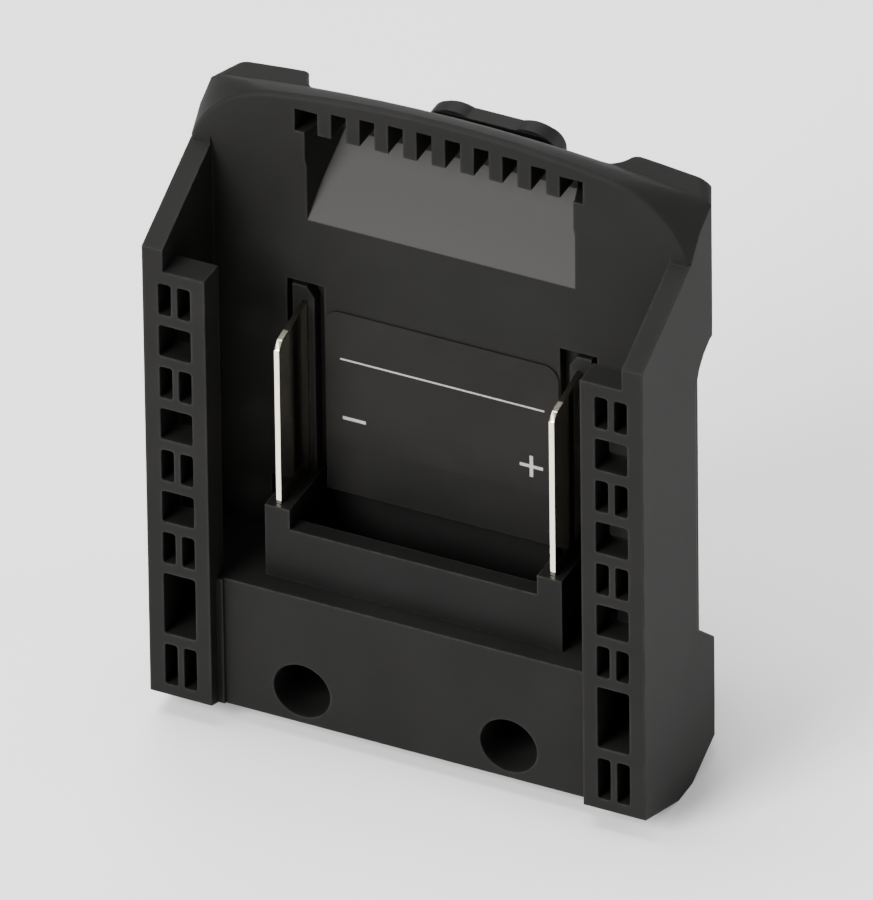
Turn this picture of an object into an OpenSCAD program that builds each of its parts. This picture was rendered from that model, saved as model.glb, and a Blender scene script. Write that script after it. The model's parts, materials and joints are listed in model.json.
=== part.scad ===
// Slide-on battery adapter for a power tool: a moulded casing with two battery rails and blade
// contacts in front, and behind it a plug-in block with a sprung latch and two tool contacts.
// Sizes are millimetres. Each piece is drawn with x to the right, y backwards from the rails'
// front face and z up from the base, and is then moved so that the origin lies under the middle.

/* [Casing] */
// Overall width across the cheeks
casing_w = 82; // [81:0.5:90]
// Height of the cap at its centre
casing_h = 107.8; // [107.2:0.1:112]
// Depth from the rails' front face to the casing's flat back
casing_d = 29; // [28.6:0.1:30]
// Wall thickness of the mouldings
wall = 2; // [1.6:0.1:2.2]
// Thickness of each cheek beside the bay
cheek_t = 3.4; // [2.8:0.1:4]
// Height at which the cheeks' front edges start to lean back
cheek_h = 85; // [82:0.5:86]
// Rise of the leaning cheek edge for each millimetre back
cheek_lean = 0.51; // [0.4:0.01:0.54]
// Inward bevel of each side at the casing's back
side_bevel = 2; // [1:0.1:2.4]
// Depth of that bevel
bevel_d = 4.4; // [3:0.1:5]
// Radius round the cap's front edge
cap_edge = 0.9; // [0.5:0.1:1.1]
// Corner radius of the cap seen from the front
cap_corner_r = 16; // [14:0.5:17]
// How far the front corners would run past the sides, which cut them off in a crease
cap_tuck = 0.75; // [0.4:0.05:1]
// Corner radius of the cap at its back
cap_back_r = 4; // [3:0.5:8]
// How far the corners at the back would run past the sides
back_tuck = 1.2; // [0.8:0.1:1.6]
// Crown radius of the cap's top edge
cap_crown_r = 175; // [160:5:240]
// Fall of the cap's top from front to back
cap_fall = 4.4; // [3:0.1:4.6]
// Rise of the cap's top above a straight fall
cap_bulge = 0.5; // [0.2:0.1:0.6]
// Half width of the straight part of the finger notch in the cap's back
access_half = 20.7; // [18:0.1:22]
// How far the finger notch cuts into the cap from its back
access_d = 5.8; // [5:0.1:6]
// Radius of the outer corners of the finger notch
access_r = 1.5; // [0.8:0.1:2]

/* [Base] */
// Height of the rails' feet above the base
foot_z = 4; // [3.4:0.1:4.6]
// Distance back to where the underside becomes flat
belly_front = 11.7; // [10:0.1:13]
// Distance back to where the relief at each heel starts
heel_y = 16.6; // [15.5:0.1:19]
// Rise of each heel's relief at the casing's back
heel_rise = 5.9; // [3:0.1:6]
// Distance of the reliefs from the middle
heel_half = 27.5; // [27.2:0.1:30]

/* [Battery bay] */
// Depth from the rails' front face to the floor of the bay
bay_d = 17.4; // [17:0.1:18.2]
// How far the top band stands proud of the floor
band_proud = 0.5; // [0.3:0.1:0.9]
// Lower edge of the top band
band_z = 95.3; // [94:0.1:97]
// Height of the slope that joins the floor to the band
band_slope = 1.6; // [0.8:0.1:2]
// Lower edge of the floor
floor_z = 36.2; // [34:0.1:37.5]
// Top of the stop wall
ledge_z = 25.9; // [24:0.1:28]
// Setback of the stop wall behind the rails' front face
stop_setback = 2.9; // [2:0.1:4]
// Half width of the opening under the floor
pocket_half = 28.5; // [27.8:0.1:30]

/* [Rails] */
// Width of each rail seen from the front
rail_w = 10.25; // [9.5:0.05:11]
// Thickness of each rail's flange
rail_t = 4.9; // [4.2:0.1:5.6]
// Height of the top of the rails
rail_h = 81.2; // [79:0.2:82]
// Width of a window in a rail
window_w = 5.28; // [4.4:0.02:5.8]
// Height of an ordinary window
window_h = 5.65; // [5:0.05:6]
// Height of the tall window
window_tall_h = 11.1; // [9:0.1:11.5]
// Bar left between windows
window_bar = 1.88; // [1.6:0.02:2.2]
// Corner radius of the windows
window_r = 0.5; // [0.2:0.05:0.7]
// Depth of the lowest windows, which lie in front of the solid foot
window_depth = 12; // [6:0.5:13]
// Width of the bar that halves every other window
mullion_w = 1.05; // [0.8:0.05:1.4]
// Margin above the top window
window_margin = 2.2; // [1.8:0.1:3]
// Distance from the rail's inner edge to its windows
window_edge = 2.4; // [2:0.05:2.8]

/* [Catch recess] */
// Half width of the recess at the floor
recess_half = 22; // [20:0.1:22.6]
// Height of the recess's lower edge
recess_z = 84.1; // [83.6:0.1:86]
// How far the recess reaches behind the floor
recess_reach = 7.4; // [6.5:0.1:7.5]
// Rise of the ramp for each millimetre back
ramp_lean = 1.7; // [1.5:0.02:1.74]
// How far each side of the recess closes in towards the back
recess_draft = 2.9; // [1.5:0.1:3.5]
// Height of the underside of the ribs
rib_z = 100.1; // [99.4:0.1:101]
// Width of a rib
rib_w = 2.25; // [1.8:0.05:2.8]
// Spacing of the ribs
rib_pitch = 4.68; // [4.3:0.02:4.9]
// Count of ribs
rib_count = 9; // [5:2:9]
// Half width of the ribbed opening
comb_half = 23.6; // [23:0.05:24.2]
// Ceiling of the ribbed opening at the middle of its front
comb_ceiling = 105.4; // [104.5:0.1:105.6]

/* [Grip notches] */
// Depth from the rails' front face to each notch
notch_y = 18.7; // [18.2:0.1:20]
// Distance of each notch's inner wall from the middle
notch_half = 36.5; // [36.2:0.1:38]
// Lower end of the notch
notch_low = 27; // [25:0.1:30]
// Fall of the notch's lower end for each millimetre back
notch_lean = 0.87; // [0.7:0.01:1]
// Radius of the heel's corner under the notch
heel_r = 1.5; // [0.6:0.1:2]
// Upper end of the notch, where its curve starts
notch_high = 69; // [64:0.1:71]
// Radius of the curve at the notch's upper end
notch_r = 8; // [6:0.5:9]

/* [Screw wells] */
// Distance of each well from the middle
well_x = 17.1; // [16:0.1:19]
// Height of the wells
well_z = 8.8; // [8.4:0.1:9.6]
// Radius of the wells
well_r = 4.7; // [4:0.1:4.8]
// Depth from the rails' front face to the wells' floor
well_floor = 18.5; // [16:0.1:19]

/* [Terminal block] */
// Depth from the rails' front face to the crossbar
bar_y = 6.4; // [5.6:0.1:7]
// Thickness of the crossbar
bar_t = 3; // [2:0.1:4]
// Top of the crossbar
bar_h = 35.2; // [33:0.1:36]
// Top of the two feet
foot_h = 38.7; // [37.5:0.1:40]
// Width of each foot
foot_w = 4.1; // [3.6:0.1:4.6]
// Width of each fin behind a blade
fin_w = 3.6; // [3:0.1:3.8]
// Top of the fins
fin_h = 72; // [71:0.1:72.2]
// Width of each slot in the floor
slot_w = 6.1; // [5.8:0.1:6.6]
// Top of the slots in the floor
slot_h = 72.7; // [72.4:0.1:74]
// Half width of the base plate
base_half = 27.5; // [26:0.1:28]
// Top of the base plate
base_h = 76; // [74:0.5:78]

/* [Blades] */
// Distance of each blade from the middle
blade_x = 22.6; // [22.2:0.05:23]
// Thickness of a blade
blade_t = 0.9; // [0.7:0.05:1]
// Depth from the rails' front face to the blades
blade_y = 7.3; // [7.2:0.05:7.6]
// Height of a blade's front corner
blade_h = 66.6; // [64:0.1:68]
// Height of the lug behind each blade
lug_h = 8; // [6:0.5:10]

/* [Label] */
// Width of the label
label_w = 38.4; // [34:0.2:38.6]
// Height of the label
label_h = 23.7; // [20:0.1:26]
// Height of the label's lower edge
label_z = 45.3; // [42:0.1:46]
// Thickness of the label
label_t = 0.25; // [0.15:0.05:0.4]
// Corner radius of the label
label_r = 2.5; // [1:0.1:4]

/* [Plug-in block] */
// Overall depth of the adapter
overall_d = 44; // [43.6:0.1:46]
// Half width of the plug-in block
block_half = 26; // [25.6:0.1:26.6]
// Height of the plug-in block
block_h = 87.4; // [86.6:0.2:88.2]
// Corner radius of the block
block_r = 3; // [1:0.5:4]
// Chamfer round the block's back face
block_edge = 1.2; // [0.6:0.1:1.6]
// How far the guide ribs stand out from the block's sides
guide_d = 1.2; // [0.6:0.1:1.6]
// Width of a guide rib
guide_w = 3; // [2:0.1:4]
// Half width of the cover plate round the block
cover_half = 34; // [33.4:0.1:34.4]
// Thickness of the cover plate
cover_t = 2; // [1.8:0.1:2.4]
// Clearance between the cover plate and its rebate
cover_gap = 0.3; // [0.1:0.05:0.4]

/* [Release latch] */
// Half width of the tab
tab_half = 11; // [10:0.5:12]
// Thickness of the tab
tab_d = 3; // [2.4:0.1:3.4]
// Height of the top of the tab
tab_h = 96.4; // [95:0.1:97]
// Distance of the tab in front of the block's back face
tab_inset = 5.7; // [5.4:0.1:6]
// Radius of the tab's top corners
tab_r = 3; // [1:0.1:3]
// Distance of each bump from the middle
bump_x = 6.3; // [4:0.1:7]
// Radius of the bumps on the tab's top
bump_r = 6; // [4:0.5:8]
// Rise of the bumps above the tab's top
bump_rise = 0.5; // [0.3:0.05:0.6]
// Travel of the latch
latch_travel = 2.8; // [2:0.1:3]
// Half width of the tooth
tooth_half = 6; // [4:0.5:8]
// Running clearance of the latch
latch_gap = 0.3; // [0.2:0.05:0.4]
// Distance of each spring from the middle
spring_x = 8; // [7:0.1:9]
// Mean radius of a spring's coil
coil_r = 2.5; // [2.3:0.05:3]
// Radius of the spring wire
wire_r = 0.3; // [0.2:0.05:0.4]
// Turns of each spring
coil_turns = 7; // [5:1:9]
// Height of the keeper plate's top
keeper_z = 72; // [71:0.5:74]

/* [Electronics] */
// Half width of the circuit board
board_half = 21; // [20.5:0.5:23]
// Thickness of the board
board_t = 1.6; // [1:0.1:2]
// Lower edge of the board
board_z = 6; // [4:0.5:7]
// Height of the board
board_h = 56; // [55:0.5:56.5]
// Gap between the cover and the front of the board
board_inset = 1.8; // [1.8:0.1:2.4]
// Radius of the capacitor
capacitor_r = 5; // [4:0.1:5]
// Length of the capacitor
capacitor_l = 9.6; // [8:0.1:9.6]
// Width of a power transistor
transistor_w = 10; // [8:0.5:10]
// Width and height of the controller chip
chip_w = 8; // [5:0.5:9]
// Width of the fuse
fuse_w = 11; // [9:0.5:12]
// Radius of a lead over its insulation
lead_r = 1.1; // [0.8:0.1:1.2]
// Distance of each tool contact from the middle
contact_x = 7; // [6.5:0.1:7.5]
// Thickness of a tool contact
contact_t = 0.8; // [0.6:0.1:0.9]
// Half width of the contact carrier's nose
carrier_half = 13.5; // [12:0.1:13.8]
// Height of the contact carrier's nose
carrier_h = 13; // [12:0.5:14]

/* [Fasteners] */
// Radius of the small screws
screw_r = 1.25; // [1:0.05:1.25]
// Radius of the screws in the wells
well_screw_r = 1.5; // [1.2:0.05:1.6]
// Clearance round a screw in its hole
screw_gap = 0.05; // [0.03:0.01:0.1]
// Height of a small screw's head
head_h = 1.8; // [1.4:0.1:1.8]

/* [Hidden] */
$fn = 48;
over = 1;                                   // how far a cut runs past the face it opens
bond = 0.1;                                 // how far joined shapes of one piece run into each other
lap = 0.4;                                  // the same for the casing and its cheeks
plastic = "#2b2a29";
black = "#1c1c1c";
nickel = "#d8d4c8";
steel = "#8f9296";

// Casing
half_w = casing_w / 2;
bay_half = half_w - cheek_t;
band_y = bay_d - band_proud;
cap_y = band_y + cap_edge;
bevel_y = casing_d - bevel_d;
inner_y = bay_d + wall;
rail_in = half_w - rail_w;
cav_half = cover_half - wall + cover_gap;
cav_high = recess_z - 2 * wall;
rebate_y = casing_d - cover_t;
rebate_low = heel_rise + 1.7;
rebate_high = recess_z;
cav_low = rebate_low + 1.5;
under_low = foot_z + 0.4;                   // floor of the space behind the stop wall
under_half = block_half - 0.7;
cover_low = rebate_low + cover_gap;
cover_high = rebate_high - cover_gap;
cap_back_h = casing_h - cap_fall;
cap_mid_h = casing_h - 0.85 * cap_fall;     // most of the fall lies in front of the bevel
back_crown_r = 1.8 * cap_crown_r;
edge_rib_w = 1;                             // ribs at the ends of the stop wall
edge_rib_t = 0.6;

// Recess, ribs and finger notch
recess_y = bay_d + recess_reach;
recess_top = recess_z + ramp_lean * recess_reach;
crease = 0.45;                              // share of the depth at which the recess's sides turn
crease_draft = 0.36;                        // share of the draft that lies in front of the crease
comb_back = recess_y - 3.4;                 // where the recess's back meets the ribs' ceiling
comb_fall = 2.2;                            // fall of the ribs' ceiling towards the back
access_y = casing_d - access_d;
access_lip = 2.8;                           // drop of the finger notch's upright wall
access_knee = 11.3;                         // drop of the bend in its sloping wall
access_knee_d = 2;                          // distance of that bend from the casing's back
access_end = 16.3;                          // drop of its lower end
access_wall = [[access_y, casing_h + over], [access_y, casing_h - access_lip],
  [casing_d - access_knee_d, casing_h - access_knee], [casing_d + bond, casing_h - access_end]];

// Wells and casing screws
well_t = 1.5;
well_end = well_floor + wall;
boss_r = 2.8;
cover_screw_x = cover_half - 3;
cover_screw_z = [cav_low + 5.6, cav_high - 4];
head_r = 2.3;
sunk = 1.2;                                 // depth of the cover screws' heads in the plate
thread_y = inner_y + 1.4;                   // where the cover screws end

// Terminal block and blades
post_x = 12;
post_rise = 10.8;                           // height of the screw posts above the label's lower edge
post_z = label_z + post_rise;
post_r = 2.6;
post_h = wall - bond;
washer_r = 4;
base_y = inner_y + wall;
blade_gap = 0.05;
blade_low = ledge_z + 5;
blade_top = fin_h - 2.6;
blade_tail = base_y + 2.8;
lug_z = blade_top - 4.2;
corner_cut = 1.2;
terminal_low = ledge_z + 0.3;
foot_in = blade_x - foot_w / 2 - 0.15;
fin_in = blade_x - fin_w / 2 + 0.2;
slot_in = blade_x - slot_w / 2 - 0.15;

// Plug-in block
in_half = block_half - wall;
block_y = casing_d + wall;
block_in = overall_d - wall;
roof_z = block_h - wall;
open_low = 2 * well_z + 0.5;
open_high = board_z + board_h + 4;
guide_z = [0.3 * block_h, 0.66 * block_h];  // height of each guide rib's middle
guide_end = overall_d - 3 * block_edge;     // where the ribs start to fade out

// Latch
tab_end = overall_d - tab_inset;
tab_y = tab_end - tab_d;
flange_top = roof_z - latch_gap;
flange_t = 2.5;
flange_low = flange_top - flange_t;
tab_low = flange_top - bond;
latch_low = roof_z - latch_travel - over;   // lower end of the latch's way through the roof
flange_half = tab_half + 2.5;
flange_y = block_y + latch_gap;
flange_end = block_in - latch_gap;
tooth_y = tab_end + 1;
tooth_rise = latch_travel - 0.4;            // so that the pressed tooth sinks into the roof
tooth_crest = 0.7;
spring_y = (flange_y + flange_end) / 2;
stud_r = coil_r - wire_r - 0.5;
stud_h = 2.5;
keeper_t = 2;
keeper_half = in_half - 2;
keeper_screw_x = in_half - 4.5;
shelf_in = keeper_screw_x - 3;
shelf_low = board_z + board_h + 1;
shelf_y = block_y + 1.8;
keeper_hole = 1.6;

// Electronics
board_y = block_y + board_inset;
board_back = board_y + board_t;
board_top = board_z + board_h;
standoff_x = board_half - 4;
standoff_z = [board_z + 6, board_top - 4];
standoff_r = 3;
carrier_z = 24.5;
behind_board = block_in - board_back;       // room that the tool side's pieces share
carrier_y = board_back + 0.58 * behind_board;
carrier_ear_t = 0.19 * behind_board;
carrier_ear = carrier_half + 6;
carrier_screw_x = carrier_half + 3;
carrier_mid = carrier_z + carrier_h / 2;
carrier_post_r = 2.6;
carrier_fit = 0.15;
contact_h = 8;
contact_front = board_back + 0.9;
contact_end = overall_d - 1.2;
contact_low = carrier_mid - contact_h / 2;
contact_high = carrier_mid + contact_h / 2;
mouth_w = 3;
capacitor_z = open_low + capacitor_r + 2.5;
chip_z = 36;
chip_t = 1.4;
fuse_z = 48;
fuse_t = 3.8;
fuse_d = 7.5;
transistor_d = 0.58 * behind_board;
transistor_gap = 4;
transistor_z = 49.5;
transistor_h = 9;
sink_t = 1.3;
sink_h = 3.3;
lead_sides = 8;
lead_run = 1.2;                             // how far a lead runs straight before it bends
lead_drop = 11.5;                           // drop from the upper board screws to the input leads
lead_aside = 3;                             // distance of the output leads outside their contacts

// Height at which a corner of the cap runs into the straight side
function corner_height(half, top, crown, corner) =
  top - crown + sqrt(pow(crown - corner, 2) - pow(half - corner, 2));

// Outline of the cap seen from the front: a crowned top, two round corners and straight sides
function cap_outline(half, top, crown, corner, tuck, foot) =
  let (
    crown_z = top - crown,
    corner_x = half + tuck - corner,
    corner_z = corner_height(half + tuck, top, crown, corner),
    low = acos(1 - tuck / corner),
    turn = atan2(corner_z - crown_z, corner_x)
  )
  concat(
    [[half, foot], [-half, foot]],
    [for (k = [0:10]) let (a = 180 - blend(low, turn, k / 10))
      [corner * cos(a) - corner_x, corner_z + corner * sin(a)]],
    [for (k = [1:11]) let (a = 180 - turn - (180 - 2 * turn) * k / 12)
      [crown * cos(a), crown_z + crown * sin(a)]],
    [for (k = [0:10]) let (a = blend(turn, low, k / 10))
      [corner_x + corner * cos(a), corner_z + corner * sin(a)]]
  );

// That outline in space, at a given depth
function cap_ring(y, half, top, crown, corner, tuck) =
  [for (p = cap_outline(half, top, crown, corner, tuck, -over)) [p[0], y, p[1]]];

function blend(a, b, share) = a + (b - a) * share;

function unit(v) = v / norm(v);

// Rings of points along a path, for a tube
function heading(path, k) = unit(path[min(k + 1, len(path) - 1)] - path[max(k - 1, 0)]);
function ring(path, k, r, sides, guide) =
  let (t = heading(path, k), a = unit(cross(guide, t)), b = cross(t, a))
  [for (s = [0:sides - 1]) path[k] + r * (cos(360 * s / sides) * a + sin(360 * s / sides) * b)];

// Moves a drawn piece so that the origin lies under the middle of the whole adapter
module place() translate([0, -overall_d / 2, 0]) children();

// Extrudes an outline drawn in x and z from one depth to another
module upright(y0, y1) translate([0, y1, 0]) rotate([90, 0, 0]) linear_extrude(y1 - y0) children();

// Extrudes an outline drawn in y and z from one side to another
module sideways(x0, x1) translate([x0, 0, 0]) rotate([90, 0, 90]) linear_extrude(x1 - x0) children();

module both() {
  children();
  mirror([1, 0, 0]) children();
}

// A box given by its lowest and highest corners
module block(low, high) translate(low) cube(high - low);

// A rod along y, given by its axis in x and z
module rod(x, z, r, y0, y1) translate([x, y1, z]) rotate([90, 0, 0]) cylinder(r = r, h = y1 - y0);

module rounded(w, h, r) {
  translate([-w / 2 + r, 0]) square([w - 2 * r, h]);
  translate([-w / 2, r]) square([w, h - 2 * r]);
  for (x = [-w / 2 + r, w / 2 - r], z = [r, h - r]) translate([x, z]) circle(r);
}

// A closed skin over rings of equally many points, one ring behind another
module skin(rings) {
  n = len(rings);
  sides = len(rings[0]);
  points = [for (r = rings) each r];
  sleeve = [for (k = [0:n - 2], s = [0:sides - 1])
    let (a = k * sides + s, b = k * sides + (s + 1) % sides)
    each [[a, b + sides, b], [a, a + sides, b + sides]]];
  start = [for (s = [1:sides - 2]) [0, s, s + 1]];
  end = [for (s = [1:sides - 2]) let (f = (n - 1) * sides) [f, f + s + 1, f + s]];
  polyhedron(points, concat(sleeve, start, end));
}

module tube(path, r, sides, guide) skin([for (k = [0:len(path) - 1]) ring(path, k, r, sides, guide)]);

// The casing behind the bay: a rounded front blended into a squarer, bevelled back
module casing_blank() {
  share = (bevel_y - cap_y) / (casing_d - cap_y);
  mid_crown_r = blend(cap_crown_r, back_crown_r, share);
  crest = 0.42;                               // where the top bulges most, between front and bevel
  skin(concat(
    [for (a = [0:30:90]) let (inset = cap_edge * (1 - sin(a)))
      cap_ring(band_y + cap_edge * (1 - cos(a)), half_w - inset, casing_h - inset, cap_crown_r - inset,
        cap_corner_r - inset, cap_tuck)],
    [cap_ring(blend(cap_y, bevel_y, crest), half_w, blend(casing_h, cap_mid_h, crest) + cap_bulge,
        blend(cap_crown_r, mid_crown_r, crest), blend(cap_corner_r, cap_back_r, crest),
        blend(cap_tuck, back_tuck, crest)),
      cap_ring(bevel_y, half_w, cap_mid_h, mid_crown_r, cap_back_r, back_tuck),
      cap_ring(casing_d, half_w - side_bevel, cap_back_h, back_crown_r, cap_back_r, back_tuck)]
  ));
}

// Cheeks, rail flanges and the box behind the stop wall, all inside the cap's outline
module casing_front() {
  corner_x = half_w + cap_tuck - cap_corner_r;
  corner_z = corner_height(half_w + cap_tuck, casing_h, cap_crown_r, cap_corner_r);
  crease_z = corner_z + sqrt(pow(cap_corner_r, 2) - pow(cap_corner_r - cap_tuck, 2));
  cheek_top = cheek_h + cheek_lean * (cap_y + 2 * lap);
  turn_z = min(crease_z, cheek_top - over);
  reach = corner_x + sqrt(max(0, pow(cap_corner_r, 2) - pow(max(0, cheek_top - corner_z), 2)));
  top_half = min(half_w, reach);
  intersection() {
    upright(0, cap_y + lap) polygon([[half_w, -1.5 * over], [half_w, turn_z], [top_half, cheek_top],
      [-top_half, cheek_top], [-half_w, turn_z], [-half_w, -1.5 * over]]);
    union() {
      both() sideways(bay_half, half_w + over) polygon([[-over, -2 * over],
        [-over, cheek_h - cheek_lean * over], [cap_y + over, cheek_h + cheek_lean * (cap_y + over)],
        [cap_y + over, -2 * over]]);
      both() block([rail_in, -over, -2 * over], [half_w + over, rail_t, rail_h]);
      block([-half_w, stop_setback, -2 * over], [half_w, cap_y + over, ledge_z]);
      both() block([rail_in - edge_rib_w, stop_setback - edge_rib_t, -2 * over],
        [rail_in + over, stop_setback + over, ledge_z]);
    }
  }
}

// The underside slopes up to the rails' feet, and each heel is relieved towards the back
module belly_cut() {
  slope = heel_rise / (casing_d - heel_y);
  sideways(-half_w - over, half_w + over) polygon([[-over, -2 * over], [-over, foot_z], [0, foot_z],
    [belly_front, 0], [casing_d + over, 0], [casing_d + over, -2 * over]]);
  both() sideways(heel_half, half_w + over) polygon([[heel_y - over, -slope * over],
    [casing_d + over, heel_rise + slope * over], [casing_d + over, -2 * over], [heel_y - over, -2 * over]]);
}

// The floor of the bay lies behind the band, and a slope joins the two
module floor_cut() sideways(-bay_half, bay_half) polygon([[band_y - over, ledge_z], [bay_d, ledge_z],
  [bay_d, band_z - band_slope], [band_y, band_z], [band_y - over, band_z]]);

module cavity() {
  block([-cav_half, inner_y, cav_low], [cav_half, casing_d + over, cav_high]);
  block([-cav_half, stop_setback + wall, under_low], [cav_half, inner_y + bond, ledge_z - wall]);
  block([-under_half, inner_y, under_low], [under_half, casing_d + over, cav_low + bond]);
  block([-pocket_half, bay_d - over, ledge_z], [pocket_half, inner_y + bond, floor_z]);
  block([-cover_half - cover_gap, rebate_y, rebate_low],
    [cover_half + cover_gap, casing_d + over, rebate_high]);
}

// Recess for the battery's catch: a ramp between sides that close in towards the back
module recess_cut() {
  low_y = band_y - over;
  mid_y = bay_d + crease * recess_reach;
  intersection() {
    sideways(-recess_half - over, recess_half + over) polygon([[low_y, recess_z], [bay_d, recess_z],
      [recess_y, recess_top], [comb_y(rib_z + bond), rib_z + bond], [low_y, rib_z + bond]]);
    linear_extrude(casing_h) polygon([[-recess_half, low_y], [-recess_half, bay_d],
      [-recess_half + crease_draft * recess_draft, mid_y], [-recess_half + recess_draft, recess_y + bond],
      [recess_half - recess_draft, recess_y + bond], [recess_half - crease_draft * recess_draft, mid_y],
      [recess_half, bay_d], [recess_half, low_y]]);
  }
}

// Depth of the recess's back wall at a height above the ramp
function comb_y(z) = blend(recess_y, comb_back, (z - recess_top) / (comb_ceiling - comb_fall - recess_top));

// Openings between the ribs above the recess: their ceilings follow the cap's crown
module comb_cut() {
  first = -(rib_count - 1) / 2 * rib_pitch;
  for (k = [0:rib_count]) {
    x0 = k == 0 ? -comb_half : first + (k - 1) * rib_pitch + rib_w / 2;
    x1 = k == rib_count ? comb_half : first + k * rib_pitch - rib_w / 2;
    top = comb_ceiling - pow((x0 + x1) / 2, 2) / (2 * cap_crown_r);
    sideways(x0, x1) polygon([[band_y - over, rib_z], [band_y - over, top], [band_y, top],
      [comb_y(top - comb_fall), top - comb_fall], [comb_y(rib_z), rib_z]]);
  }
}

// Finger notch behind the cap, in front of the latch's tab, with rounded outer corners
module access_cut() {
  round_x = access_half + sqrt(pow(access_d + access_r, 2) - pow(access_r, 2));
  round_y = casing_d - access_r;
  intersection() {
    translate([0, 0, casing_h / 2]) linear_extrude(casing_h) {
      translate([-access_half, access_y]) square([2 * access_half, access_d + over]);
      for (x = [-access_half, access_half]) translate([x, casing_d]) circle(access_d);
      both() difference() {
        polygon([[access_half, casing_d], [round_x, round_y], [round_x, casing_d + over],
          [access_half, casing_d + over]]);
        translate([round_x, round_y]) circle(access_r);
      }
    }
    sideways(-half_w, half_w) polygon(concat(access_wall, [[casing_d + over, casing_h - access_end],
      [casing_d + over, casing_h + over]]));
  }
}

module notch_cut() {
  reach = casing_d + over;
  round_y = casing_d - heel_r;
  round_z = notch_low - notch_lean * (round_y - notch_y) - heel_r * norm([1, notch_lean]);
  turn = atan2(1, notch_lean);
  both() sideways(notch_half, half_w + over) polygon(concat([[notch_y, notch_low]],
    [for (k = [4:-1:0]) [round_y + heel_r * cos(turn * k / 4), round_z + heel_r * sin(turn * k / 4)]],
    [[reach, round_z], [reach, notch_high + notch_r]],
    [for (a = [95:17:180]) [notch_y + notch_r + notch_r * cos(a), notch_high + notch_r * sin(a)]]));
}

// Windows of one rail, from the top down: every other one is halved by a bar
module windows() {
  pitch = window_h + window_bar;
  top = rail_h - window_margin;
  tall_top = top - 7 * pitch;
  last_top = tall_top - window_tall_h - window_bar;
  for (k = [0:6]) window(top - k * pitch - window_h, top - k * pitch, k % 2 == 0);
  window(tall_top - window_tall_h, tall_top, false);
  window(foot_z + window_bar, last_top, true);
}

module window(z0, z1, halved) {
  x0 = rail_in + window_edge;
  x1 = x0 + window_w;
  gap = (window_w - mullion_w) / 2;
  if (halved) {
    window_cut(x0, x0 + gap, z0, z1);
    window_cut(x1 - gap, x1, z0, z1);
  } else {
    window_cut(x0, x1, z0, z1);
  }
}

// A window goes through the flange; one that starts below the ledge is a deep pocket instead
module window_cut(x0, x1, z0, z1) {
  if (z0 > ledge_z) {
    window_hole(x0, x1, z0, z1, rail_t + bond);
  } else {
    window_hole(x0, x1, z0, z1, rail_t - over);
    window_hole(x0, x1, z0, min(z1, ledge_z - wall), window_depth);
  }
}

module window_hole(x0, x1, z0, z1, depth) upright(-over, depth) translate([(x0 + x1) / 2, z0])
  rounded(x1 - x0, z1 - z0, window_r);

module front_housing() color(plastic) place() difference() {
  union() {
    difference() {
      union() {
        casing_blank();
        casing_front();
      }
      cavity();
      floor_cut();
    }
    both() rod(well_x, well_z, well_r + well_t, stop_setback + bond, well_end);
    both() for (z = cover_screw_z) rod(cover_screw_x, z, boss_r, inner_y - bond, rebate_y);
    both() rod(post_x, post_z, post_r, inner_y - bond, inner_y + post_h);
  }
  belly_cut();
  recess_cut();
  comb_cut();
  access_cut();
  notch_cut();
  both() windows();
  both() block([slot_in, bay_d - over, floor_z - over], [slot_in + slot_w, inner_y + bond, slot_h]);
  both() rod(well_x, well_z, well_r, stop_setback - over, well_floor);
  both() rod(well_x, well_z, well_screw_r + cover_gap, well_floor - over, well_end + over);
  both() for (z = cover_screw_z) rod(cover_screw_x, z, screw_r + screw_gap, thread_y - 0.5, casing_d);
  both() rod(post_x, post_z, screw_r + screw_gap, bay_d + 0.6, inner_y + wall + over);
}

// The plug-in block's outside, with a chamfer all round its back face
module block_blank() {
  start = casing_d - over;
  fade = overall_d - block_edge - over;
  side = block_half + over;
  intersection() {
    upright(casing_d, overall_d) rounded(2 * block_half, block_h, block_r);
    sideways(-side, side) polygon([[start, -over], [fade, -over], [overall_d, block_edge],
      [overall_d, block_h - block_edge], [fade, block_h + over], [start, block_h + over]]);
    translate([0, 0, -over]) linear_extrude(block_h + 2 * over)
      polygon([[-side, start], [-side, fade], [block_edge - block_half, overall_d],
        [block_half - block_edge, overall_d], [side, fade], [side, start]]);
  }
}

// A rib along the block's side that guides it into the tool
module guide_rib(z) translate([0, 0, z - guide_w / 2]) linear_extrude(guide_w)
  polygon([[block_half - bond, casing_d], [block_half + guide_d, casing_d],
    [block_half + guide_d, guide_end], [block_half - bond, guide_end + guide_d + bond]]);

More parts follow.
